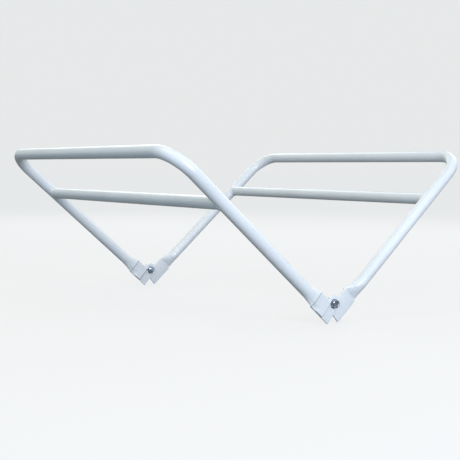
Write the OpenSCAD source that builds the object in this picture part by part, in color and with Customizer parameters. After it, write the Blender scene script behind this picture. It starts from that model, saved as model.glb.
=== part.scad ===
// Scissor grip for carrying a hive body, in the pose in which it clamps the box.
// Two like frames of bent round tube turn on two bolts, one at the front and one at the back.
// X runs across the frames, Y along the bolts and the hand bars, Z up.
// The origin is the middle of the rectangle that the ear tips stand on.
// Each frame is drawn upright, with its bolt axis along Y through the origin, and then leaned over.
// The right frame is the left frame turned half a turn about Z.

/* [Tube] */
// Outside diameter of the frame tube
tube_d = 21.3; // [20:0.1:24]
// Wall thickness of the frame tube
tube_wall = 1.5; // [1.2:0.1:2]

/* [Frame] */
// Distance between the front leg axis and the back leg axis
frame_width = 610; // [540:5:660]
// Distance along a leg from the bolt axis to the axis of the hand bar
leg_length = 407; // [380:1:440]
// Distance along a leg from the bolt axis to the axis of the clamping bar
clamp_bar_at = 287; // [240:1:300]
// Distance from the bolt axis to the leg axis
leg_offset = 19; // [18:0.5:22]
// Bend radius of the tube axis at the hand bar
bend_r = 50; // [40:1:70]
// Angle by which each frame leans out from upright
lean = 49; // [40:1:60]

/* [Pressed ends] */
// Thickness of the tube where it is pressed flat
flat_t = 4; // [3.6:0.1:5]
// Distance along the leg from the bolt axis to the cut end of the tube
flat_from = 9.6; // [9:0.1:12]
// Distance along the leg from the bolt axis to the end of the flat
flat_to = 38; // [34:1:44]
// Length over which the flat swells to the full round tube
blend_len = 32; // [24:1:40]

/* [Hinge ears] */
// Thickness of an ear plate
ear_t = 3; // [2.5:0.1:4]
// Radius of the ear round the bolt
ear_r = 14; // [13:0.5:15]
// Distance from the bolt axis to the lower edge of the ear
ear_tail = 12; // [11:0.5:13]
// Gap between the two ears of a hinge
ear_gap = 0.8; // [0.8:0.1:1.2]
// Diameter of the bolt hole
hole_d = 8.1; // [8.1:0.02:8.18]

/* [Bolts] */
// Length of the bolt under its head
bolt_len = 20; // [20:1:25]
// Free play left between a bolted piece and an ear
play = 0.1; // [0.05:0.05:0.1]

/* [Welds] */
// Width of a weld bead
bead_w = 2.5; // [2:0.1:3]

/* [Hidden] */
$fn = 64;

tube_r = tube_d / 2;
half_w = frame_width / 2;
// Pressing keeps the length of the wall, which sets the width of the flat.
flat_w = (PI * (tube_d - tube_wall) - (PI - 2) * (flat_t - tube_wall)) / 2 + tube_wall;
blend_top = flat_to + blend_len;
// The flat lies against the outer face of the frame's own ear.
flat_y = -(ear_gap / 2 + ear_t + flat_t / 2);
ear_out = leg_offset + flat_w / 2;
ear_in = leg_offset - flat_w / 2;
// Height of the bolt axis that puts the ear tips on the ground
pivot_h = ear_tail * cos(lean) + ear_out * sin(lean);

// Blend between the flat and the round tube
ring_points = 32;
blend_steps = 8;
// The rim of the pressed end stays this far inside the wall of the round tube that it meets.
rim_seat = 0.03;

// Bar ends are cut this much larger than the leg that they meet.
cope_gap = 0.1;

// Ear welds fill the groove beside the flat, short of both its ends.
groove_share = 0.8;
weld_inset = 3;

// M8 fasteners
bolt_d = 8;
bolt_tip = 1;
bolt_tip_d = 6.5;
hex_af = 13;
head_h = 5.3;
head_chamfer = 0.8;
head_face_d = 12.4;
spacer_t = ear_gap - 2 * play;
spacer_d = 20;
washer_t = 1.6;
washer_d = 16;
washer_hole = 8.4;
nut_hex_h = 6.4;
nut_h = 8;
nut_collar_d = 11.6;
nut_lip_h = 0.4;
insert_h = 2;
insert_d = 10;

// Distances from the leg plane to the faces of the hinge stack
stack_face = ear_gap / 2 + ear_t + play;
washer_face = stack_face + washer_t;

paint = [0.93, 0.94, 0.95];
weld_paint = [0.90, 0.91, 0.93];
zinc = [0.70, 0.72, 0.74];
nylon = [0.30, 0.45, 0.75];
spacer_white = [0.88, 0.88, 0.86];

// ---- places ----

// Carries a shape from the upright left frame to its leaning place
module left_frame_place() {
    translate([0, 0, pivot_h]) rotate([0, -lean, 0]) children();
}

module right_frame_place() {
    rotate([0, 0, 180]) left_frame_place() children();
}

module front_pivot_place() {
    translate([0, -half_w, pivot_h]) children();
}

module rear_pivot_place() {
    rotate([0, 0, 180]) front_pivot_place() children();
}

// The two ends of an upright frame: front at -1, rear at 1
module at_end(end) {
    translate([0, end * half_w, 0]) children();
}

// Turns a shape along Z to lie along Y
module along_y() {
    rotate([-90, 0, 0]) children();
}

// ---- frame tube ----

module tube_section() {
    difference() {
        circle(r = tube_r);
        circle(r = tube_r - tube_wall);
    }
}

// Share of the swelling done at share t of the blend: quick at the crease, gentle at the tube
function swelling(t) = sin(90 * t);

// Point of the first quarter of an oval, a distance s along it from its end
function oval_quarter(w, t, s) =
    let (arc = PI * t / 4)
    s < arc
        ? [(w - t) / 2 + t / 2 * cos(s / arc * 90), t / 2 * sin(s / arc * 90)]
        : [(w - t) / 2 - (s - arc), t / 2];

// Point i of a ring, part of the way from the flat oval (0) to the round tube (1)
function ring_point(w, t, r, i, part) =
    let (
        quarter = floor(i / (ring_points / 4)),
        odd = quarter % 2,
        step = i % (ring_points / 4),
        share = (odd == 0 ? step : ring_points / 4 - step) / (ring_points / 4),
        sx = quarter == 0 || quarter == 3 ? 1 : -1,
        sy = quarter < 2 ? 1 : -1,
        flat = oval_quarter(w, t, share * (PI * t / 4 + (w - t) / 2)),
        round = [r * cos(share * 90), r * sin(share * 90)],
        p = flat * (1 - part) + round * part
    )
    [sx * p[0], sy * p[1] + flat_y * (1 - part)];

// Rings of one skin of a pressed end, from its cut edge up to the round tube
function end_rings(w, t, r) = [
    for (k = [-1:blend_steps], i = [0:ring_points - 1])
        let (
            p = ring_point(w, t, r, i, k < 0 ? 0 : swelling(k / blend_steps)),
            z = k < 0 ? flat_from : flat_to + blend_len * k / blend_steps
        )
        [p[0], p[1], z]
];

// The pressed end, centred on the leg axis: the hollow flat and its swelling to the round tube
module pressed_end() {
    outer = end_rings(flat_w, flat_t, tube_r - rim_seat);
    inner = end_rings(flat_w - 2 * tube_wall, flat_t - 2 * tube_wall,
        (tube_r - tube_wall + rim_seat) / cos(180 / ring_points));
    n = ring_points;
    inside = len(outer);
    last = inside - n;
    outer_walls = [
        for (k = [0:blend_steps], i = [0:n - 1])
            let (a = k * n + i, b = k * n + (i + 1) % n)
            each [[a, a + n, b + n], [a, b + n, b]]
    ];
    inner_walls = [for (f = outer_walls) [f[2] + inside, f[1] + inside, f[0] + inside]];
    low_rim = [
        for (i = [0:n - 1])
            let (j = (i + 1) % n)
            each [[i, j, j + inside], [i, j + inside, i + inside]]
    ];
    high_rim = [for (f = low_rim) [f[2] + last, f[1] + last, f[0] + last]];
    polyhedron(concat(outer, inner), concat(outer_walls, inner_walls, low_rim, high_rim));
}

module frame_leg() {
    translate([-leg_offset, 0, 0]) {
        pressed_end();
        translate([0, 0, blend_top]) linear_extrude(leg_length - bend_r - blend_top) tube_section();
    }
}

// Quarter bend from the leg at one end of the frame to the hand bar
module frame_bend(end) {
    translate([-leg_offset, end * (half_w - bend_r), leg_length - bend_r])
        rotate([90, 0, end * 90]) rotate_extrude(angle = 90) translate([bend_r, 0]) tube_section();
}

module frame_tube() {
    for (end = [-1, 1]) {
        at_end(end) frame_leg();
        frame_bend(end);
    }
    translate([-leg_offset, -half_w + bend_r, leg_length])
        along_y() linear_extrude(frame_width - 2 * bend_r) tube_section();
}

// ---- clamping bar ----

module clamp_bar() {
    difference() {
        translate([-leg_offset, -half_w, clamp_bar_at])
            along_y() linear_extrude(frame_width) tube_section();
        for (end = [-1, 1]) at_end(end)
            translate([-leg_offset, 0, clamp_bar_at - tube_d])
                cylinder(r = tube_r + cope_gap, h = 2 * tube_d);
    }
}

// Bead round the joint between the bar and one leg
module bar_weld(end) {
    reach = tube_r + bead_w;
    translate([-leg_offset, end * half_w, clamp_bar_at]) rotate([0, 0, -end * 90]) difference() {
        intersection() {
            rotate([0, 90, 0]) cylinder(r = reach, h = 2 * reach);
            translate([0, 0, -reach]) cylinder(r = reach, h = 2 * reach);
        }
        rotate([0, 90, 0]) translate([0, 0, -1]) cylinder(r = tube_r, h = 2 * reach + 2);
        translate([0, 0, -reach - 1]) cylinder(r = tube_r, h = 2 * reach + 2);
    }
}

module bar_welds() {
    for (end = [-1, 1]) bar_weld(end);
}

// ---- hinge ears ----

// L-shaped plate: a strip that backs the flat, and a round lobe for the bolt
module ear_outline() {
    difference() {
        union() {
            translate([-ear_out, -ear_tail]) square([ear_out - ear_in, ear_tail + flat_to]);
            translate([-leg_offset, -ear_tail]) square([leg_offset, ear_tail + ear_r]);
            intersection() {
                circle(r = ear_r);
                translate([-ear_r, -ear_tail]) square([2 * ear_r, ear_tail + ear_r]);
            }
        }
        circle(d = hole_d);
    }
}

module ear(end) {
    at_end(end) translate([0, -ear_gap / 2, 0])
        rotate([90, 0, 0]) linear_extrude(ear_t) ear_outline();
}

// One bead in the groove between the rounded edge of the flat and the ear
module groove_bead() {
    groove = flat_t / 2;
    intersection() {
        difference() {
            square(groove);
            circle(r = groove);
        }
        translate([groove * (1 - groove_share), 0]) square([groove * groove_share, groove]);
    }
}

module ear_welds() {
    rise = flat_to - flat_from - 2 * weld_inset;
    for (end = [-1, 1], side = [-1, 1]) at_end(end)
        translate([-leg_offset + side * (flat_w - flat_t) / 2, flat_y, flat_from + weld_inset])
            linear_extrude(rise) mirror([side < 0 ? 1 : 0, 0]) groove_bead();
}

// ---- fasteners, drawn for the front hinge with the head facing -Y ----

module hexagon_prism(h) {
    cylinder(d = hex_af / cos(30), h = h, $fn = 6);
}

module pivot_bolt() {
    translate([0, -washer_face, 0]) {
        rotate([90, 30, 0]) intersection() {
            hexagon_prism(head_h);
            union() {
                cylinder(d = hex_af / cos(30) + 1, h = head_h - head_chamfer);
                translate([0, 0, head_h - head_chamfer])
                    cylinder(d1 = hex_af / cos(30), d2 = head_face_d, h = head_chamfer);
            }
        }
        along_y() {
            cylinder(d = bolt_d, h = bolt_len - bolt_tip);
            translate([0, 0, bolt_len - bolt_tip])
                cylinder(d1 = bolt_d, d2 = bolt_tip_d, h = bolt_tip);
        }
    }
}

module washer(d, hole, t) {
    along_y() linear_extrude(t) difference() {
        circle(d = d);
        circle(d = hole);
    }
}

module ear_spacer() {
    translate([0, -spacer_t / 2, 0]) washer(spacer_d, washer_hole, spacer_t);
}

module nut_washer() {
    translate([0, stack_face, 0]) washer(washer_d, washer_hole, washer_t);
}

module head_washer() {
    translate([0, -washer_face, 0]) washer(washer_d, washer_hole, washer_t);
}

// Self-locking nut: a hexagon with a round collar that holds a nylon ring
module lock_nut() {
    translate([0, washer_face, 0]) along_y() difference() {
        union() {
            rotate(30) hexagon_prism(nut_hex_h);
            cylinder(d = nut_collar_d, h = nut_h);
        }
        translate([0, 0, -1]) cylinder(d = hole_d, h = nut_h + 2);
        translate([0, 0, nut_h - nut_lip_h - insert_h]) cylinder(d = insert_d, h = insert_h);
    }
}

module nut_insert() {
    translate([0, washer_face + nut_h - nut_lip_h - insert_h, 0]) washer(insert_d, hole_d, insert_h);
}

// ---- nodes ----

module left_frame_tube() color(paint) left_frame_place() frame_tube();
module right_frame_tube() color(paint) right_frame_place() frame_tube();
module left_clamp_bar() color(paint) left_frame_place() clamp_bar();
module right_clamp_bar() color(paint) right_frame_place() clamp_bar();
module left_front_ear() color(paint) left_frame_place() ear(-1);
module left_rear_ear() color(paint) left_frame_place() ear(1);
module right_front_ear() color(paint) right_frame_place() ear(1);
module right_rear_ear() color(paint) right_frame_place() ear(-1);
module left_bar_welds() color(weld_paint) left_frame_place() bar_welds();
module right_bar_welds() color(weld_paint) right_frame_place() bar_welds();
module left_ear_welds() color(weld_paint) left_frame_place() ear_welds();
module right_ear_welds() color(weld_paint) right_frame_place() ear_welds();
module front_pivot_bolt() color(zinc) front_pivot_place() pivot_bolt();
module rear_pivot_bolt() color(zinc) rear_pivot_place() pivot_bolt();
module front_ear_spacer() color(spacer_white) front_pivot_place() ear_spacer();
module rear_ear_spacer() color(spacer_white) rear_pivot_place() ear_spacer();
module front_head_washer() color(zinc) front_pivot_place() head_washer();
module rear_head_washer() color(zinc) rear_pivot_place() head_washer();
module front_nut_washer() color(zinc) front_pivot_place() nut_washer();
module rear_nut_washer() color(zinc) rear_pivot_place() nut_washer();
module front_lock_nut() color(zinc) front_pivot_place() lock_nut();
module rear_lock_nut() color(zinc) rear_pivot_place() lock_nut();
module front_nut_insert() color(nylon) front_pivot_place() nut_insert();
module rear_nut_insert() color(nylon) rear_pivot_place() nut_insert();

left_frame_tube();
right_frame_tube();
left_clamp_bar();
right_clamp_bar();
left_front_ear();
left_rear_ear();
right_front_ear();
right_rear_ear();
left_bar_welds();
right_bar_welds();
left_ear_welds();
right_ear_welds();
front_pivot_bolt();
rear_pivot_bolt();
front_ear_spacer();
rear_ear_spacer();
front_head_washer();
rear_head_washer();
front_nut_washer();
rear_nut_washer();
front_lock_nut();
rear_lock_nut();
front_nut_insert();
rear_nut_insert();
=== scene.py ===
"""Looks of the hive-body grip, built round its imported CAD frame, in metres.

Each tube frame is built upright, with the bolt axis along Y through the origin, X towards the
other frame and Z up the legs. It is then leaned over and set down, as the CAD does.
Bolts, nuts and washers are turned about the Y axis of their hinge.
"""

import math

import bmesh
import bpy
from mathutils import Matrix, Vector


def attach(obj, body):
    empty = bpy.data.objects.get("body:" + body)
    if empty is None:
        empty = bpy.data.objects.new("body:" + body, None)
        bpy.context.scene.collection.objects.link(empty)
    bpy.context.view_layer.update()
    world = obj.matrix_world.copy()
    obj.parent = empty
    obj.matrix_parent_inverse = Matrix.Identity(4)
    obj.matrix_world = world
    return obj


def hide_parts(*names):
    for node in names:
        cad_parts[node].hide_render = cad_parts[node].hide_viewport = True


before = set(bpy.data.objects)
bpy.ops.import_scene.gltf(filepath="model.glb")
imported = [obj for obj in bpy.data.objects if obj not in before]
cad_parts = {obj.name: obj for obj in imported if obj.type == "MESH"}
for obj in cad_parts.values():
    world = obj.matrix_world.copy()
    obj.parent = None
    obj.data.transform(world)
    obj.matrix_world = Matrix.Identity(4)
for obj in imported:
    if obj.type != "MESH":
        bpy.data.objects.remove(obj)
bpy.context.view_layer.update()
scene = bpy.context.scene

MM = 0.001

# ---- sizes of the CAD part ----

TUBE_R = 10.65 * MM
TUBE_WALL = 1.5 * MM
HALF_W = 305 * MM
LEG_LENGTH = 407 * MM
CLAMP_BAR_AT = 287 * MM
LEG_OFFSET = 19 * MM
BEND_R = 50 * MM
LEAN = math.radians(49)

FLAT_T = 4 * MM
FLAT_W = (math.pi * (2 * TUBE_R - TUBE_WALL) - (math.pi - 2) * (FLAT_T - TUBE_WALL)) / 2 + TUBE_WALL
FLAT_FROM = 9.6 * MM
FLAT_TO = 38 * MM
BLEND_LEN = 32 * MM

EAR_T = 3 * MM
EAR_R = 14 * MM
EAR_TAIL = 12 * MM
EAR_GAP = 0.8 * MM
EAR_OUT = LEG_OFFSET + FLAT_W / 2
EAR_IN = LEG_OFFSET - FLAT_W / 2
HOLE_R = 4.05 * MM
FLAT_Y = -(EAR_GAP / 2 + EAR_T + FLAT_T / 2)
PIVOT_H = EAR_TAIL * math.cos(LEAN) + EAR_OUT * math.sin(LEAN)

PLAY = 0.1 * MM
BOLT_R = 4 * MM
BOLT_LEN = 20 * MM
HEX_FLAT = 6.5 * MM
HEAD_H = 5.3 * MM
WASHER_T = 1.6 * MM
WASHER_R = 8 * MM
NUT_HEX_H = 6.4 * MM
NUT_H = 8 * MM
COLLAR_R = 5.8 * MM
INSERT_R = 5 * MM
SPACER_R = 10 * MM
RING_HOLE_R = 4.2 * MM
WASHER_EDGE = 0.25 * MM
SPACER_EDGE = 0.1 * MM
SPACER_T = EAR_GAP - 2 * PLAY
STACK_FACE = EAR_GAP / 2 + EAR_T + PLAY
WASHER_FACE = STACK_FACE + WASHER_T

# ---- places ----

LEFT = Matrix.Translation((0, 0, PIVOT_H)) @ Matrix.Rotation(-LEAN, 4, "Y")
HALF_TURN = Matrix.Rotation(math.pi, 4, "Z")
RIGHT = HALF_TURN @ LEFT
FRONT_HINGE = Matrix.Translation((0, -HALF_W, PIVOT_H))
REAR_HINGE = HALF_TURN @ FRONT_HINGE


# ---- mesh helpers ----


class Shape:
    """Vertices and faces gathered into one mesh."""

    def __init__(self):
        self.verts, self.faces = [], []

    def add(self, verts, faces, matrix=Matrix()):
        first = len(self.verts)
        self.verts += [matrix @ Vector(v) for v in verts]
        self.faces += [[first + i for i in f] for f in faces]

    def add_rings(self, rings, closed=False):
        """Skins a row of like rings. The two end rings are capped unless the row closes on itself."""
        n, count = len(rings[0]), len(rings)
        faces = []
        for k in range(count if closed else count - 1):
            a, b = k * n, (k + 1) % count * n
            faces += [(a + i, a + (i + 1) % n, b + (i + 1) % n, b + i) for i in range(n)]
        if not closed:
            faces += [list(range(n))[::-1], [(count - 1) * n + i for i in range(n)]]
        self.add([p for ring in rings for p in ring], faces)


def make_piece(name, shape, material, body, node, place, sharp=38):
    """Turns a shape into an object that stands for a CAD node and moves with its body."""
    mesh = bpy.data.meshes.new(name)
    mesh.from_pydata([place @ v for v in shape.verts], [], shape.faces)
    work = bmesh.new()
    work.from_mesh(mesh)
    bmesh.ops.recalc_face_normals(work, faces=work.faces)
    work.to_mesh(mesh)
    work.free()
    mesh.polygons.foreach_set("use_smooth", [True] * len(mesh.polygons))
    mesh.set_sharp_from_angle(angle=math.radians(sharp))
    mesh.materials.append(material)
    piece = bpy.data.objects.new(name, mesh)
    scene.collection.objects.link(piece)
    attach(piece, body)
    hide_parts(node)
    return piece


# ---- frame tube ----

RING = 96


def oval_quarter(w, t, s):
    """Point of the first quarter of a round-ended oval, a distance s along it from its end."""
    arc = math.pi * t / 4
    if s < arc:
        a = s / arc * math.pi / 2
        return (w - t) / 2 + t / 2 * math.cos(a), t / 2 * math.sin(a)
    return (w - t) / 2 - (s - arc), t / 2


def section_point(w, t, i, part):
    """Point i of a ring that is part of the way from the flat oval (0) to the round tube (1)."""
    quarter, step = divmod(i, RING // 4)
    share = (step if quarter % 2 == 0 else RING // 4 - step) / (RING // 4)
    sx = 1 if quarter in (0, 3) else -1
    sy = 1 if quarter < 2 else -1
    fx, fy = oval_quarter(w, t, share * (math.pi * t / 4 + (w - t) / 2))
    a = share * math.pi / 2
    round_x, round_y = TUBE_R * math.cos(a), TUBE_R * math.sin(a)
    return sx * (fx + (round_x - fx) * part), sy * (fy + (round_y - fy) * part)


def swelling(s):
    """Share of the way from flat to round at distance s up the leg, with a crease a few mm round."""
    t = (s - FLAT_TO) / BLEND_LEN
    if t <= 0:
        return 0.0
    soft = 0.02
    t = min(1.0, (math.sqrt(t * t + soft * soft) - soft) / (math.sqrt(1 + soft * soft) - soft))
    return math.sin(math.pi / 2 * t)


def smooth(a, b, x):
    """0 before a, 1 after b and an even curve between them."""
    t = max(0.0, min(1.0, (x - a) / (b - a)))
    return t * t * (3 - 2 * t)


CREASE_RISE = 3.2 * MM
CREASE_ONSET = 1.2 * MM
CREASE_DECAY = 9 * MM
PINCH_DEPTH = 3.7 * MM
PINCH_FROM = 6.5 * MM
PINCH_SPAN = 9 * MM
PINCH_STARTS = (21 * MM, 34 * MM)
PINCH_ENDS = (39 * MM, 52 * MM)


def crease_rise(s):
    """How far the wall stands out of the plain swelling, just above the edge of the press."""
    above = s - FLAT_TO
    if above <= 0:
        return 0.0
    return CREASE_RISE * (1 - math.exp(-above / CREASE_ONSET)) * math.exp(-above / CREASE_DECAY)


def pinch(u, s):
    """Depth of the shoulder that the press leaves by the outer edge of the flat, below the crease."""
    across = max(0.0, (-PINCH_FROM - u) / PINCH_SPAN)
    along = smooth(*PINCH_STARTS, s) * (1 - smooth(*PINCH_ENDS, s))
    return PINCH_DEPTH * across ** 0.9 * along


def leg_ring(end, s, w=FLAT_W, t=FLAT_T):
    """Ring across the leg at one end of the frame (-1 front, 1 rear), s up from the bolt axis."""
    part = swelling(s)
    ring = []
    for i in range(RING):
        u, v = section_point(w, t, i, part)
        sunk = 0.0
        if t == FLAT_T and v < 0 and part < 1:
            # The press reaches further round the side of the leg that faces the other frame.
            reach = 1.6 if u > 0 else 1.15
            face = min(1.0, -v / (t / 2 + (TUBE_R - t / 2) * part) * reach)
            sunk = (pinch(u, s) - crease_rise(s)) * face
        ring.append((-LEG_OFFSET + u, end * HALF_W + v + sunk + FLAT_Y * (1 - part), s))
    # Rings of the rear leg run the other way round, so that the skin doesn't twist over the hand bar.
    return ring if end < 0 else [ring[-i % RING] for i in range(RING)]


def span(a, b, step):
    """Even values from a to b, about a step apart."""
    count = max(1, round(abs(b - a) / step))
    return [a + (b - a) * k / count for k in range(count + 1)]


BEND_FLATTENING = 0.025
BEND_STEPS = 32
LONG_STEP = 15 * MM


def frame_tube():
    """The bent tube with its two pressed ends, cut square and not quite closed."""
    slit, pocket, round_over = 0.7 * MM, 12 * MM, 0.35 * MM
    top = FLAT_TO + BLEND_LEN
    heights = span(FLAT_FROM + round_over, FLAT_TO - 2 * MM, 1 * MM)[:-1]
    heights += span(FLAT_TO - 2 * MM, FLAT_TO + 5 * MM, 0.35 * MM)[:-1]
    heights += span(FLAT_TO + 5 * MM, top, 1.5 * MM)[:-1]
    heights += span(top, LEG_LENGTH - BEND_R, LONG_STEP)
    inner = {"w": FLAT_W - 2 * TUBE_WALL, "t": slit}

    def foot(end):
        mouth = [leg_ring(end, FLAT_FROM + d, **inner) for d in (pocket, pocket / 2, 0.3 * MM, 0)]
        rim = leg_ring(end, FLAT_FROM, w=FLAT_W - 2 * round_over, t=FLAT_T - 2 * round_over)
        return mouth + [rim]

    def over_point(y, z, direction, squeeze):
        """Ring round the path at (y, z), which heads along direction in the YZ plane."""
        ring = []
        for i in range(RING):
            u, v = section_point(FLAT_W, FLAT_T, i, 1.0)
            v *= 1 - squeeze
            ring.append((-LEG_OFFSET + u * (1 + squeeze), y + v * direction[1], z - v * direction[0]))
        return ring

    rings = foot(-1) + [leg_ring(-1, s) for s in heights]
    for end in (-1, 1):
        turn = []
        for k in range(1, BEND_STEPS):
            a = math.pi / 2 * k / BEND_STEPS
            y = end * (HALF_W - BEND_R + BEND_R * math.cos(a))
            z = LEG_LENGTH - BEND_R + BEND_R * math.sin(a)
            direction = (math.sin(a), -end * math.cos(a))
            turn.append(over_point(y, z, direction, BEND_FLATTENING * math.sin(2 * a)))
        if end < 0:
            rings += turn
            straight = span(-HALF_W + BEND_R, HALF_W - BEND_R, LONG_STEP)
            rings += [over_point(y, LEG_LENGTH, (1, 0), 0) for y in straight]
        else:
            rings += turn[::-1]
    rings += [leg_ring(1, s) for s in heights[::-1]] + foot(1)[::-1]
    shape = Shape()
    shape.add_rings(rings)
    return shape


# ---- clamping bar ----


def clamp_bar():
    """Straight tube whose ends are cut to sit on the legs."""
    angles = [2 * math.pi * i / RING for i in range(RING)]

    def ring(y_of):
        return [
            (-LEG_OFFSET + TUBE_R * math.cos(a), y_of(a), CLAMP_BAR_AT + TUBE_R * math.sin(a))
            for a in angles
        ]

    rings = [ring(lambda a: -HALF_W + TUBE_R * abs(math.sin(a)))]
    for y in span(-HALF_W + TUBE_R + 1 * MM, HALF_W - TUBE_R - 1 * MM, LONG_STEP):
        rings.append(ring(lambda a: y))
    rings.append(ring(lambda a: HALF_W - TUBE_R * abs(math.sin(a))))
    shape = Shape()
    shape.add_rings(rings)
    return shape


# ---- welds ----

BEAD_POINTS = 18
BEAD_HEIGHT = 0.8
RIPPLE_HEIGHT = 0.09
RIPPLE_LAG = 0.28


def bead(path, normals, radius, ripple_pitch, closed, phase):
    """A weld bead along a path: a row of overlapping ripples, each a crescent."""
    lengths = [0.0]
    for a, b in zip(path, path[1:]):
        lengths.append(lengths[-1] + (b - a).length)
    total = lengths[-1] + ((path[0] - path[-1]).length if closed else 0)
    ripples = max(1, round(total / ripple_pitch))
    rings = []
    for k, (p, n) in enumerate(zip(path, normals)):
        after = path[(k + 1) % len(path)] if closed else path[min(k + 1, len(path) - 1)]
        before = path[k - 1] if closed else path[max(k - 1, 0)]
        forward = (after - before).normalized()
        side = forward.cross(n).normalized()
        up = side.cross(forward).normalized()
        taper = 1.0 if closed else min(1.0, 0.35 + 4 * min(k, len(path) - 1 - k) / len(path))
        ring = []
        for i in range(BEAD_POINTS):
            a = 2 * math.pi * i / BEAD_POINTS
            crest = lengths[k] / total * ripples + phase + RIPPLE_LAG * math.cos(a) ** 2
            ridge = abs(math.sin(math.pi * crest))
            uneven = 0.04 * math.sin(3.1 * crest + 1.7) + 0.03 * math.sin(1.3 * crest)
            r = radius * taper * (0.93 + RIPPLE_HEIGHT * ridge + uneven)
            ring.append(p + side * (r * math.cos(a)) + up * (r * BEAD_HEIGHT * math.sin(a)))
        rings.append(ring)
    return rings


BAR_BEAD_R = 2.5 * MM
BAR_RIPPLE = 2.1 * MM
BAR_BEAD_STEPS = 360


def bar_welds():
    """The bead round each end of the clamping bar."""
    shape = Shape()
    for end in (-1, 1):
        path, normals = [], []
        for k in range(BAR_BEAD_STEPS):
            a = 2 * math.pi * k / BAR_BEAD_STEPS
            reach = math.sqrt(math.sin(a) ** 2 + 0.03)
            n_bar = Vector((math.cos(a), 0, math.sin(a)))
            n_leg = Vector((math.cos(a), -end * abs(math.sin(a)), 0))
            n = (n_bar + n_leg).normalized()
            point = Vector((
                -LEG_OFFSET + TUBE_R * math.cos(a),
                end * (HALF_W - TUBE_R * reach),
                CLAMP_BAR_AT + TUBE_R * math.sin(a),
            ))
            sink = BAR_BEAD_R * (0.55 - 0.55 * abs(math.sin(a)))
            path.append(point - n * sink)
            normals.append(n)
        shape.add_rings(bead(path, normals, BAR_BEAD_R, BAR_RIPPLE, True, 0.3 * end), closed=True)
    return shape


EAR_BEAD_R = 1.25 * MM
EAR_BEAD_IN = 0.75 * MM
EAR_RIPPLE = 1.5 * MM
EAR_BEAD_END = 3 * MM
EAR_BEAD_STEP = 0.25 * MM
EAR_BEAD_SWAY = 0.08 * MM


def ear_welds():
    """The beads that join the long edges of each flat to its ear."""
    shape = Shape()
    for end in (-1, 1):
        for side in (-1, 1):
            x = -LEG_OFFSET + side * (FLAT_W / 2 - EAR_BEAD_IN)
            y = end * HALF_W + FLAT_Y + FLAT_T / 2 - EAR_BEAD_IN
            heights = span(FLAT_FROM + EAR_BEAD_END, FLAT_TO - EAR_BEAD_END, EAR_BEAD_STEP)
            path = [Vector((x + EAR_BEAD_SWAY * math.sin(900 * s), y, s)) for s in heights]
            normals = [Vector((side, -1, 0)).normalized()] * len(path)
            shape.add_rings(bead(path, normals, EAR_BEAD_R, EAR_RIPPLE, False, 0.2 * side))
    return shape


# ---- hinge ears ----

EAR_EDGE = 0.6 * MM
EAR_TOP_CORNER = 1 * MM
EAR_FOOT_CORNER = 1.2 * MM
LOBE_CORNER = 1.5 * MM
CORNER_STEPS = 6
LOBE_POINTS = 40
HOLE_POINTS = 48


def rounded(points, radii):
    """The corners of a polygon rounded off, each by at most its own radius."""
    loop = []
    for k, (x, y) in enumerate(points):
        r = radii[k]
        here = Vector((x, y))
        before, after = Vector(points[k - 1]), Vector(points[(k + 1) % len(points)])
        if r == 0:
            loop.append(here)
            continue
        back, on = (before - here).normalized(), (after - here).normalized()
        half = back.angle(on) / 2
        reach = r / math.tan(half)
        centre = here + (back + on).normalized() * (r / math.sin(half))
        first, last = here + back * reach - centre, here + on * reach - centre
        turn = first.angle_signed(last)
        for i in range(CORNER_STEPS + 1):
            loop.append(centre + Matrix.Rotation(-turn * i / CORNER_STEPS, 2) @ first)
    return loop


def ear_plates():
    """Both ears of one frame: cut plates with softened edges and a drilled hole."""
    low = math.sqrt(EAR_R**2 - EAR_TAIL**2)
    start = math.atan2(-EAR_TAIL, low)
    corners = [(-EAR_IN, FLAT_TO), (-EAR_OUT, FLAT_TO), (-EAR_OUT, -EAR_TAIL), (low, -EAR_TAIL)]
    radii = [EAR_TOP_CORNER, EAR_TOP_CORNER, EAR_FOOT_CORNER, 0.0]
    for k in range(1, LOBE_POINTS + 1):
        a = start + (math.pi / 2 - start) * k / LOBE_POINTS
        corners.append((EAR_R * math.cos(a), EAR_R * math.sin(a)))
        radii.append(0.0)
    corners.append((-EAR_IN, EAR_R))
    radii.append(LOBE_CORNER)
    outline = rounded(corners, radii)
    hole_angles = [2 * math.pi * k / HOLE_POINTS for k in range(HOLE_POINTS)]
    hole = [Vector((HOLE_R * math.cos(a), HOLE_R * math.sin(a))) for a in hole_angles]

    curve = bpy.data.curves.new("ear_outline", "CURVE")
    curve.dimensions, curve.fill_mode = "2D", "BOTH"
    curve.extrude, curve.bevel_depth = EAR_T / 2 - EAR_EDGE, EAR_EDGE
    curve.bevel_resolution, curve.offset = 2, -EAR_EDGE
    for loop in (outline, hole[::-1]):
        spline = curve.splines.new("POLY")
        spline.points.add(len(loop) - 1)
        for point, at in zip(spline.points, loop):
            point.co = (at.x, at.y, 0, 1)
        spline.use_cyclic_u = True
    holder = bpy.data.objects.new("ear_outline", curve)
    scene.collection.objects.link(holder)
    bpy.context.view_layer.update()
    graph = bpy.context.evaluated_depsgraph_get()
    solid = bpy.data.meshes.new_from_object(holder.evaluated_get(graph))
    work = bmesh.new()
    work.from_mesh(solid)
    bmesh.ops.remove_doubles(work, verts=work.verts, dist=1e-6)
    plates = []
    for end in (-1, 1):
        shape = Shape()
        middle = Matrix.Translation((0, end * HALF_W - EAR_GAP / 2 - EAR_T / 2, 0))
        faces = [[v.index for v in f.verts] for f in work.faces]
        shape.add([v.co for v in work.verts], faces, middle @ Matrix.Rotation(math.pi / 2, 4, "X"))
        plates.append(shape)
    work.free()
    bpy.data.meshes.remove(solid)
    bpy.data.objects.remove(holder)
    bpy.data.curves.remove(curve)
    return plates


# ---- bolts, nuts and washers ----

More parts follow.
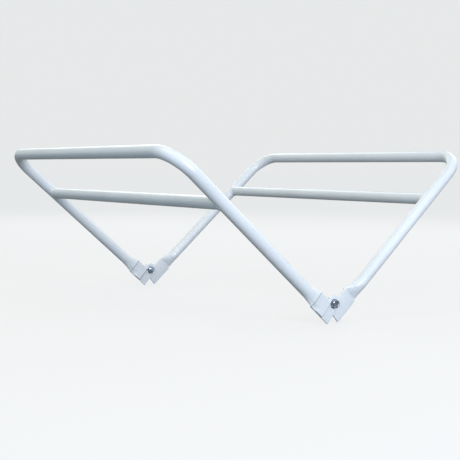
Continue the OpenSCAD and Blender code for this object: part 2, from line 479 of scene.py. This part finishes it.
TURNED = 120
THREAD_PITCH = 1.25 * MM
THREAD_DEPTH = 0.62 * MM
TIP_CONE_R = 3.1 * MM
AXIS_R = 0.0001 * MM  # closes a face on the axis
BEARING_R = 6.2 * MM
NUT_FACE_R = 6.1 * MM
HEX_CORNER_R = 7.42 * MM
HEX_CHAMFER_R = 6.15 * MM


def hexagon(a):
    """Distance from the axis to the side of the hexagon, at an angle from straight up."""
    return min(HEX_FLAT / math.cos(math.fmod(a, math.pi / 3) - math.pi / 6), HEX_CORNER_R)


def corner_drop(a):
    """How far the chamfer has come down where it meets the side of the hexagon."""
    return (hexagon(a) - HEX_CHAMFER_R) * math.tan(math.radians(30))


def turned(profile):
    """Rings about the Y axis. Each profile entry gives (radius, y) for an angle, or is such a pair."""
    rings = []
    for entry in profile:
        ring = []
        for k in range(TURNED):
            a = 2 * math.pi * k / TURNED
            r, y = entry(a) if callable(entry) else entry
            ring.append((r * math.sin(a), y, r * math.cos(a)))
        rings.append(ring)
    return rings


def pivot_bolt():
    """Hexagon-head bolt: chamfered head with a shallow dish, and a thread at its tip."""
    tip = BOLT_LEN - WASHER_FACE
    profile = [(AXIS_R, tip - 0.15 * MM), (2.6 * MM, tip - 0.1 * MM), (2.9 * MM, tip)]
    turns = span(tip - 0.1 * MM, WASHER_FACE + NUT_H - 3 * MM, THREAD_PITCH / 12)

    def thread_at(y):
        def at(a):
            phase = (y / THREAD_PITCH + a / (2 * math.pi)) % 1.0
            groove = max(0.0, min(1.0, 1.35 - abs(phase - 0.5) * 3.2))
            r = BOLT_R - THREAD_DEPTH * groove
            return min(r, TIP_CONE_R + (tip - y) * 0.9), y
        return at

    profile += [thread_at(y) for y in turns]
    profile += [(BOLT_R, WASHER_FACE + 2 * MM), (BOLT_R, -WASHER_FACE)]
    under, top = -WASHER_FACE, -WASHER_FACE - HEAD_H
    profile += [
        (BEARING_R, under),
        lambda a: (hexagon(a), under - corner_drop(a) * 0.35 - 0.05 * MM),
        lambda a: (hexagon(a), top + corner_drop(a) + 0.18 * MM),
        lambda a: (hexagon(a) - 0.06 * MM, top + corner_drop(a) + 0.05 * MM),
        lambda a: (hexagon(a) - 0.2 * MM, top + corner_drop(a) - 0.07 * MM),
        (HEX_CHAMFER_R + 0.1 * MM, top + 0.04 * MM),
        (HEX_CHAMFER_R - 0.15 * MM, top),
        (5.1 * MM, top),
        (4.75 * MM, top + 0.06 * MM),
        (4.2 * MM, top + 0.34 * MM),
        (3.9 * MM, top + 0.38 * MM),
        (AXIS_R, top + 0.36 * MM),
    ]
    shape = Shape()
    shape.add_rings(turned(profile))
    return shape


def lock_nut():
    """Self-locking nut: a chamfered hexagon and a round collar rolled over its nylon ring."""
    base = WASHER_FACE
    profile = [
        (HOLE_R, base + 6.2 * MM),
        (HOLE_R, base + 0.5 * MM),
        (HOLE_R + 0.45 * MM, base),
        (NUT_FACE_R, base),
        lambda a: (hexagon(a), base + corner_drop(a)),
        lambda a: (hexagon(a), base + NUT_HEX_H - corner_drop(a)),
        (BEARING_R, base + NUT_HEX_H),
        (COLLAR_R + 0.15 * MM, base + NUT_HEX_H),
        (COLLAR_R, base + NUT_HEX_H + 0.15 * MM),
        (COLLAR_R, base + NUT_H - 0.75 * MM),
        (COLLAR_R - 0.1 * MM, base + NUT_H - 0.4 * MM),
        (COLLAR_R - 0.35 * MM, base + NUT_H - 0.1 * MM),
        (COLLAR_R - 0.7 * MM, base + NUT_H),
        (COLLAR_R - 1.0 * MM, base + NUT_H - 0.1 * MM),
        (COLLAR_R - 1.05 * MM, base + NUT_H - 0.35 * MM),
        (INSERT_R, base + NUT_H - 0.4 * MM),
        (INSERT_R, base + 5.6 * MM),
    ]
    shape = Shape()
    shape.add_rings(turned(profile), closed=True)
    return shape


def nylon_ring():
    """The ring in the collar of the nut, with a rounded mouth."""
    top = WASHER_FACE + NUT_H - 0.45 * MM
    profile = [
        (INSERT_R - 0.05 * MM, top - 1.9 * MM),
        (INSERT_R - 0.05 * MM, top - 0.1 * MM),
        (4.65 * MM, top),
        (4.35 * MM, top + 0.03 * MM),
        (4.12 * MM, top - 0.15 * MM),
        (4.06 * MM, top - 0.5 * MM),
        (4.06 * MM, top - 1.9 * MM),
    ]
    shape = Shape()
    shape.add_rings(turned(profile), closed=True)
    return shape


def flat_ring(y, thickness, outer, inner, edge):
    """A punched washer: rolled over on one face and sharp-edged on the other."""
    profile = [
        (inner, y + edge),
        (inner + edge * 0.5, y),
        (outer - edge * 0.4, y),
        (outer, y + edge * 0.4),
        (outer, y + thickness - edge),
        (outer - edge * 0.3, y + thickness - edge * 0.3),
        (outer - edge, y + thickness),
        (inner + edge, y + thickness),
        (inner, y + thickness - edge),
    ]
    shape = Shape()
    shape.add_rings(turned(profile), closed=True)
    return shape


def washer(y):
    """A washer from y to y + WASHER_T."""
    return flat_ring(y, WASHER_T, WASHER_R, RING_HOLE_R, WASHER_EDGE)


def spacer():
    """The thin nylon ring between the two ears."""
    return flat_ring(-SPACER_T / 2, SPACER_T, SPACER_R, RING_HOLE_R, SPACER_EDGE)


# ---- materials ----

# Sockets of a Mix node that mixes colours.
MIX_FACTOR, MIX_A, MIX_B, MIX_RESULT = 0, 6, 7, 2


class Look:
    """A Principled material with a short way to add and join nodes."""

    def __init__(self, name):
        self.material = bpy.data.materials.new(name)
        self.material.use_nodes = True
        self.tree = self.material.node_tree
        self.shader = self.tree.nodes["Principled BSDF"]
        self.where = self.add("ShaderNodeTexCoord").outputs["Object"]

    def add(self, kind, **settings):
        node = self.tree.nodes.new(kind)
        for key, value in settings.items():
            setattr(node, key, value)
        return node

    def feed(self, value, socket):
        """Gives a socket a number, a colour or the output of another node."""
        if isinstance(value, tuple):
            socket.default_value = (*value, 1)
        elif isinstance(value, (int, float)):
            socket.default_value = value
        else:
            self.tree.links.new(value, socket)

    def noise(self, scale, detail=4.0, roughness=0.55, stretch=None):
        """Noise over the piece, with its own scale for each axis if it is stretched."""
        node = self.add("ShaderNodeTexNoise")
        node.inputs["Scale"].default_value = scale
        node.inputs["Detail"].default_value = detail
        node.inputs["Roughness"].default_value = roughness
        where = self.where
        if stretch:
            mapping = self.add("ShaderNodeMapping")
            mapping.inputs["Scale"].default_value = stretch
            self.feed(where, mapping.inputs["Vector"])
            where = mapping.outputs["Vector"]
        self.feed(where, node.inputs["Vector"])
        return node.outputs["Fac"]

    def ramp(self, source, stops):
        """Even slopes between stops, each a position and a grey."""
        node = self.add("ShaderNodeValToRGB")
        elements = node.color_ramp.elements
        while len(elements) < len(stops):
            elements.new(0.5)
        for element, (at, grey) in zip(elements, stops):
            element.position = at
            element.color = (grey, grey, grey, 1)
        self.feed(source, node.inputs["Fac"])
        return node.outputs["Color"]

    def math(self, operation, *values):
        node = self.add("ShaderNodeMath", operation=operation)
        for value, socket in zip(values, node.inputs):
            self.feed(value, socket)
        return node.outputs["Value"]

    def mix(self, factor, a, b):
        """Colour a at factor 0 and colour b at factor 1."""
        node = self.add("ShaderNodeMix", data_type="RGBA")
        for value, at in ((factor, MIX_FACTOR), (a, MIX_A), (b, MIX_B)):
            self.feed(value, node.inputs[at])
        return node.outputs[MIX_RESULT]

    def bump(self, height, strength, distance, under=None):
        """A normal bent by a height of so many metres, on top of the normal under it."""
        node = self.add("ShaderNodeBump")
        node.inputs["Strength"].default_value = strength
        node.inputs["Distance"].default_value = distance
        self.feed(height, node.inputs["Height"])
        if under is not None:
            self.feed(under, node.inputs["Normal"])
        return node.outputs["Normal"]

    def seen_or_lit(self, seen, lit):
        """One colour as seen, and another in the light that the stage throws back."""
        return self.mix(self.add("ShaderNodeLightPath").outputs["Is Camera Ray"], lit, seen)

    def set(self, **values):
        """Fills the shader's inputs, named with _ for a space."""
        for key, value in values.items():
            self.feed(value, self.shader.inputs[key.replace("_", " ")])


PAINT = (0.83, 0.84, 0.85)
PAINT_SHADE = (0.77, 0.785, 0.80)
PAINT_WORN = (0.56, 0.57, 0.57)
HANDLED = (0.70, 0.68, 0.63)
RESIN = (0.66, 0.56, 0.40)
# Painted shade: a dark grey, mixed into the paint in this share, in the corners where the crease of the
# press and the cut end of the flat throw their shadow.
PAINTED_SHADE = (0.26, 0.28, 0.31)
PAINTED_SHADE_SHARE = 0.7
BOLT_RUB_R = 16 * MM


def powder_coat(name, rub_round_bolt=False, resin=False, shade_line=None, edge_wear=0.35):
    """White powder coat: orange peel, faint mottling, nibs of dust and thin paint on the edges.

    The line of painted shade is set by its middle and its half width, up the leg: a dark band in a
    corner of the metal, where the step beside it throws its shadow.
    """
    look = Look(name)
    mottle = look.ramp(look.noise(9, 5), [(0.35, 0.0), (0.7, 1.0)])
    colour = look.mix(mottle, PAINT, PAINT_SHADE)
    speck = look.ramp(look.noise(420, 2, 0.4), [(0.66, 0.0), (0.72, 1.0)])
    colour = look.mix(look.math("MULTIPLY", speck, 0.10), colour, PAINT_WORN)

    smear = look.math("MULTIPLY", look.ramp(look.noise(28, 6, 0.7), [(0.52, 0.0), (0.72, 1.0)]), 0.16)
    colour = look.mix(smear, colour, HANDLED)

    edge = look.add("ShaderNodeNewGeometry").outputs["Pointiness"]
    worn = look.ramp(edge, [(0.52, 0.0), (0.60, 1.0)])
    broken = look.ramp(look.noise(260, 4, 0.6), [(0.45, 0.0), (0.62, 1.0)])
    wear = look.math("MULTIPLY", look.math("MULTIPLY", worn, broken), edge_wear)
    colour = look.mix(wear, colour, PAINT_WORN)

    parts = look.add("ShaderNodeSeparateXYZ")
    look.feed(look.where, parts.inputs["Vector"])
    # Painted shade: a dark band across the leg at the given height. It lies only on the face that the
    # flat stands out from, outward of the flat's inner edge, where the step's shadow falls.
    if shade_line:
        out = look.math("ABSOLUTE", parts.outputs["X"])
        rise = look.math("SUBTRACT", parts.outputs["Z"], PIVOT_H)
        sine, cosine = math.sin(LEAN), math.cos(LEAN)
        up_leg = look.math("MULTIPLY_ADD", rise, cosine, look.math("MULTIPLY", out, sine))
        outward = look.math("MULTIPLY_ADD", rise, -sine, look.math("MULTIPLY", out, cosine))
        away = look.math("ABSOLUTE", look.math("SUBTRACT", up_leg, shade_line[0]))
        line = look.ramp(look.math("DIVIDE", away, shade_line[1]), [(0.25, 1.0), (1.0, 0.0)])
        facing = look.add("ShaderNodeSeparateXYZ")
        look.feed(look.add("ShaderNodeNewGeometry").outputs["Normal"], facing.inputs["Vector"])
        # The flats lie on the side of the ears that faces -Y on the left frame and +Y on the right.
        side = look.math("MULTIPLY", parts.outputs["X"], facing.outputs["Y"])
        line = look.math("MULTIPLY", line, look.math("GREATER_THAN", side, 0.0))
        line = look.math("MULTIPLY", line, look.math("GREATER_THAN", outward, EAR_IN))
        colour = look.mix(look.math("MULTIPLY", line, PAINTED_SHADE_SHARE), colour, PAINTED_SHADE)
    if rub_round_bolt:
        flat = look.add("ShaderNodeCombineXYZ")
        look.feed(parts.outputs["X"], flat.inputs["X"])
        look.feed(look.math("SUBTRACT", parts.outputs["Z"], PIVOT_H), flat.inputs["Z"])
        length = look.add("ShaderNodeVectorMath", operation="LENGTH")
        look.feed(flat.outputs["Vector"], length.inputs[0])
        radius = look.math("MULTIPLY", length.outputs["Value"], 1 / BOLT_RUB_R)
        ring = look.ramp(radius, [(0.42, 1.0), (0.50, 0.75), (0.60, 0.0)])
        ring = look.math("MULTIPLY", ring, look.ramp(look.noise(300, 4), [(0.35, 0.2), (0.65, 1.0)]))
        colour = look.mix(look.math("MULTIPLY", ring, 0.45), colour, PAINT_WORN)
    if resin:
        inward = look.math("ABSOLUTE", parts.outputs["X"])
        box_side = look.ramp(look.math("MULTIPLY", inward, 4.0), [(0.878, 1.0), (0.900, 0.0)])
        streaks = look.ramp(look.noise(10, 6, 0.65, (9, 1.2, 9)), [(0.50, 0.0), (0.72, 1.0)])
        smudge = look.math("MULTIPLY", look.math("MULTIPLY", box_side, streaks), 0.20)
        colour = look.mix(smudge, colour, RESIN)

    peel = look.noise(620, 2, 0.45)
    wave = look.noise(95, 2, 0.4)
    nib = look.ramp(look.noise(180, 1, 0.3), [(0.70, 0.0), (0.80, 1.0)])
    normal = look.bump(wave, 0.06, 0.00025)
    normal = look.bump(peel, 0.07, 0.00006, normal)
    normal = look.bump(nib, 0.12, 0.00010, normal)
    gloss = look.math("MULTIPLY_ADD", look.noise(40, 4, 0.6), 0.16, 0.26)
    look.set(
        Base_Color=colour,
        Roughness=look.math("ADD", gloss, look.math("MULTIPLY", wear, 0.3)),
        Normal=normal,
        Coat_Weight=0.35,
        Coat_Roughness=0.11,
        Specular_IOR_Level=0.48,
    )
    return look.material


def zinc_plate(name):
    """Bright zinc plate: cool steel with clouded gloss, fine scratches and dull hollows."""
    look = Look(name)
    cloud = look.noise(240, 5, 0.6)
    colour = look.mix(look.ramp(cloud, [(0.3, 0.0), (0.7, 1.0)]), (0.33, 0.38, 0.45), (0.62, 0.68, 0.76))
    tint = look.ramp(look.noise(110, 3), [(0.45, 0.0), (0.7, 1.0)])
    colour = look.mix(look.math("MULTIPLY", tint, 0.25), colour, (0.46, 0.44, 0.33))
    edge = look.add("ShaderNodeNewGeometry").outputs["Pointiness"]
    hollow = look.ramp(edge, [(0.40, 1.0), (0.49, 0.0)])
    colour = look.mix(look.math("MULTIPLY", hollow, 0.6), colour, (0.07, 0.07, 0.075))
    scratch = look.noise(160, 6, 0.7, (1, 12, 1))
    normal = look.bump(scratch, 0.18, 0.00005)
    normal = look.bump(look.noise(900, 3), 0.12, 0.00003, normal)
    look.set(
        Base_Color=colour,
        Metallic=1.0,
        Roughness=look.math("MULTIPLY_ADD", cloud, 0.26, 0.14),
        Normal=normal,
    )
    return look.material


def nylon(name, pale, deep):
    """Moulded nylon: a soft skin with a faint grain."""
    look = Look(name)
    colour = look.mix(look.ramp(look.noise(200, 4), [(0.3, 0.0), (0.7, 1.0)]), deep, pale)
    look.set(
        Base_Color=colour,
        Roughness=look.math("MULTIPLY_ADD", look.noise(350, 3), 0.2, 0.38),
        Normal=look.bump(look.noise(1400, 3), 0.2, 0.00004),
        Subsurface_Weight=0.08,
    )
    return look.material


# Where the painted shade lies up the leg, each given as a middle and a half width: along the crease of
# the press on the tube, and along the foot of the flat's cut end on the ear.
CREASE_SHADE = (FLAT_TO + 0.4 * MM, 1.8 * MM)
CUT_SHADE = (FLAT_FROM - 1.5 * MM, 3.4 * MM)

tube_paint = powder_coat("tube_powder_coat", shade_line=CREASE_SHADE)
bar_paint = powder_coat("bar_powder_coat", resin=True)
ear_paint = powder_coat("ear_powder_coat", rub_round_bolt=True, shade_line=CUT_SHADE, edge_wear=0.55)
weld_paint = powder_coat("weld_powder_coat", edge_wear=0.25)
zinc = zinc_plate("zinc_plate")
blue_nylon = nylon("blue_nylon", (0.10, 0.22, 0.52), (0.06, 0.15, 0.42))
natural_nylon = nylon("natural_nylon", (0.80, 0.79, 0.73), (0.72, 0.70, 0.63))

# ---- pieces ----

front_ear, rear_ear = ear_plates()
for side, place in (("left", LEFT), ("right", RIGHT)):
    body = side + "_frame"
    # The right frame is the left one turned round, so its own rear end is at the front.
    near, far = (front_ear, rear_ear) if side == "left" else (rear_ear, front_ear)
    for what, shape, look, slot in (
        ("frame_tube", frame_tube(), tube_paint, "paint"),
        ("clamp_bar", clamp_bar(), bar_paint, "paint"),
        ("front_ear", near, ear_paint, "paint"),
        ("rear_ear", far, ear_paint, "paint"),
        ("bar_welds", bar_welds(), weld_paint, "weld"),
        ("ear_welds", ear_welds(), weld_paint, "weld"),
    ):
        make_piece(f"{side}_{what}_look", shape, look, body, f"{side}_{what}", place)

for end, place in (("front", FRONT_HINGE), ("rear", REAR_HINGE)):
    for what, shape, look, slot in (
        ("pivot_bolt", pivot_bolt(), zinc, "zinc"),
        ("lock_nut", lock_nut(), zinc, "zinc"),
        ("nut_insert", nylon_ring(), blue_nylon, "nylon"),
        ("head_washer", washer(-WASHER_FACE), zinc, "zinc"),
        ("nut_washer", washer(STACK_FACE), zinc, "zinc"),
        ("ear_spacer", spacer(), natural_nylon, "spacer"),
    ):
        make_piece(f"{end}_{what}_look", shape, look, "pivots", f"{end}_{what}", place, sharp=32)

# ---- floor ----

FLOOR_R = 40
FLOOR_POINTS = 64
FLOOR_SEEN = (0.69, 0.69, 0.69)
FLOOR_LIT = (0.20, 0.20, 0.195)
BLACK = (0.0, 0.0, 0.0)

rim_angles = [2 * math.pi * k / FLOOR_POINTS for k in range(FLOOR_POINTS)]
rim = [(FLOOR_R * math.cos(a), FLOOR_R * math.sin(a), 0) for a in rim_angles]
floor_mesh = bpy.data.meshes.new("floor")
floor_mesh.from_pydata(rim, [], [list(range(FLOOR_POINTS))])
floor = bpy.data.objects.new("floor", floor_mesh)
scene.collection.objects.link(floor)
floor_look = Look("pale_floor")
floor_seen = floor_look.mix(floor_look.noise(3, 5), (0.21, 0.21, 0.21), (0.20, 0.20, 0.20))
floor_look.set(
    Base_Color=floor_look.seen_or_lit(floor_seen, FLOOR_LIT),
    Emission_Color=floor_look.seen_or_lit(FLOOR_SEEN, BLACK),
    Emission_Strength=1.0,
    Roughness=1.0,
    Specular_IOR_Level=0.0,
    Normal=floor_look.bump(floor_look.noise(140, 4), 0.05, 0.0005),
)
floor_mesh.materials.append(floor_look.material)

# ---- light ----

SKY_LIT = (0.50, 0.585, 0.625, 1)
SKY_SEEN = (0.80, 0.815, 0.82, 1)
LIGHTS_AIM = Vector((0, 0, 0.15))

scene.view_settings.view_transform = "Standard"
world = bpy.data.worlds.new("studio")
scene.world = world
world.use_nodes = True
sky = world.node_tree
seen_ray = sky.nodes.new("ShaderNodeLightPath")
sky_mix = sky.nodes.new("ShaderNodeMix")
sky_mix.data_type = "RGBA"
sky_mix.inputs[MIX_A].default_value = SKY_LIT
sky_mix.inputs[MIX_B].default_value = SKY_SEEN
sky.links.new(seen_ray.outputs["Is Camera Ray"], sky_mix.inputs[MIX_FACTOR])
sky.links.new(sky_mix.outputs[MIX_RESULT], sky.nodes["Background"].inputs["Color"])


def softbox(name, at, size, power, colour):
    """A square area light that faces the middle of the grip: metres, watts and a colour."""
    light = bpy.data.lights.new(name, "AREA")
    light.shape, light.size, light.energy, light.color = "SQUARE", size, power, colour
    lamp = bpy.data.objects.new(name, light)
    lamp.location = at
    lamp.rotation_mode = "QUATERNION"
    lamp.rotation_quaternion = (LIGHTS_AIM - Vector(at)).to_track_quat("-Z", "Y")
    scene.collection.objects.link(lamp)


softbox("front", (-0.25, -2.4, 0.8), 1.2, 36, (0.83, 0.90, 1.06))
softbox("top_left", (-1.3, -0.3, 2.2), 1.4, 14, (1.0, 0.80, 0.50))
softbox("left", (-2.3, -1.0, 0.9), 1.6, 7, (0.10, 0.50, 1.0))
softbox("back", (0.9, 2.5, 1.9), 1.8, 18, (1.0, 1.0, 1.0))
softbox("right", (2.4, 0.6, 1.5), 1.6, 12, (1.0, 0.98, 0.95))

# ---- camera ----

CAMERA_AT = (-1.0284, -1.4420, 0.2278 + PIVOT_H)
AZIMUTH = math.radians(-35.58)
PITCH = math.radians(3.91)
ROLL = math.radians(0.35)
SENSOR = 36
LENS = 70.8

camera_data = bpy.data.cameras.new("camera")
camera_data.sensor_width = SENSOR
camera_data.lens = LENS
camera = bpy.data.objects.new("camera", camera_data)
scene.collection.objects.link(camera)
level = math.cos(PITCH)
forward = Vector((-math.sin(AZIMUTH) * level, math.cos(AZIMUTH) * level, -math.sin(PITCH)))
flat_right = forward.cross(Vector((0, 0, 1))).normalized()
flat_up = flat_right.cross(forward)
right = flat_right * math.cos(ROLL) + flat_up * math.sin(ROLL)
up = flat_up * math.cos(ROLL) - flat_right * math.sin(ROLL)
turn = Matrix((right, up, -forward)).transposed().to_4x4()
camera.matrix_world = Matrix.Translation(CAMERA_AT) @ turn
scene.camera = camera

bpy.context.view_layer.update()
